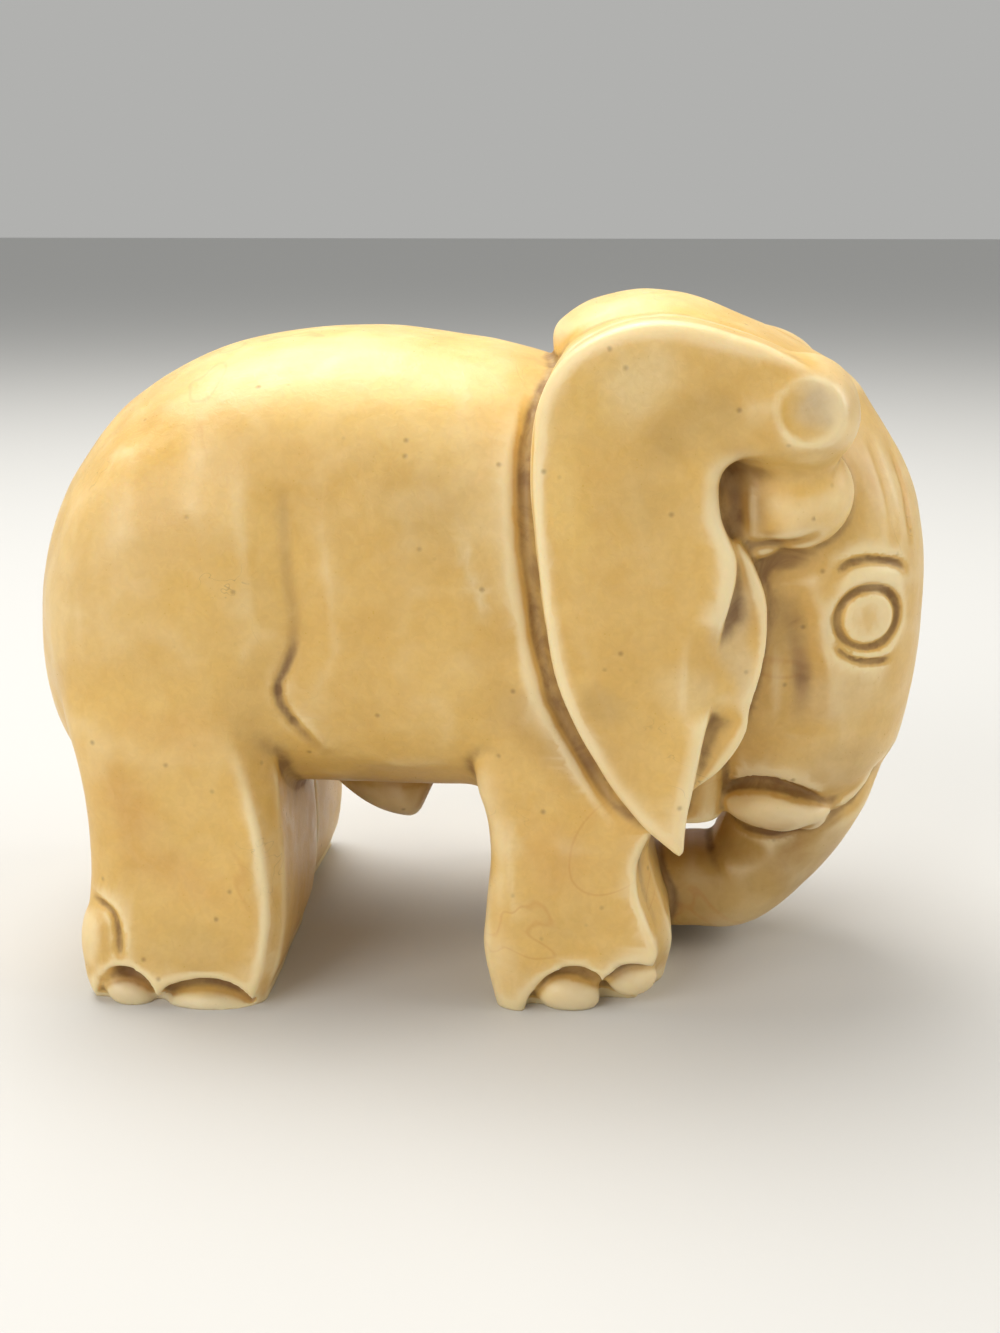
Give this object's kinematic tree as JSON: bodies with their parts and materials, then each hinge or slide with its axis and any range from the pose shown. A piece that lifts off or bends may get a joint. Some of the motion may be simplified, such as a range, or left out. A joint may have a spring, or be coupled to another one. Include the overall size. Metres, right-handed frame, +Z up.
{
  "type": "alabaster elephant statuette",
  "caption": "Hand-carved honey-yellow alabaster elephant, one solid piece on four block feet, trunk curled back to its front legs.",
  "frame": {"origin": "middle of the footprint box, on the surface that the four feet stand on", "axes": "+X forward to the face, +Y to the elephant's left, +Z up"},
  "size_m": [0.1492, 0.0832, 0.112],
  "materials": {
    "alabaster": "hand-rubbed translucent honey alabaster, satin with worn pale edges"
  },
  "bodies": {
    "root": {"elephant": "alabaster"}
  },
  "joints": []
}
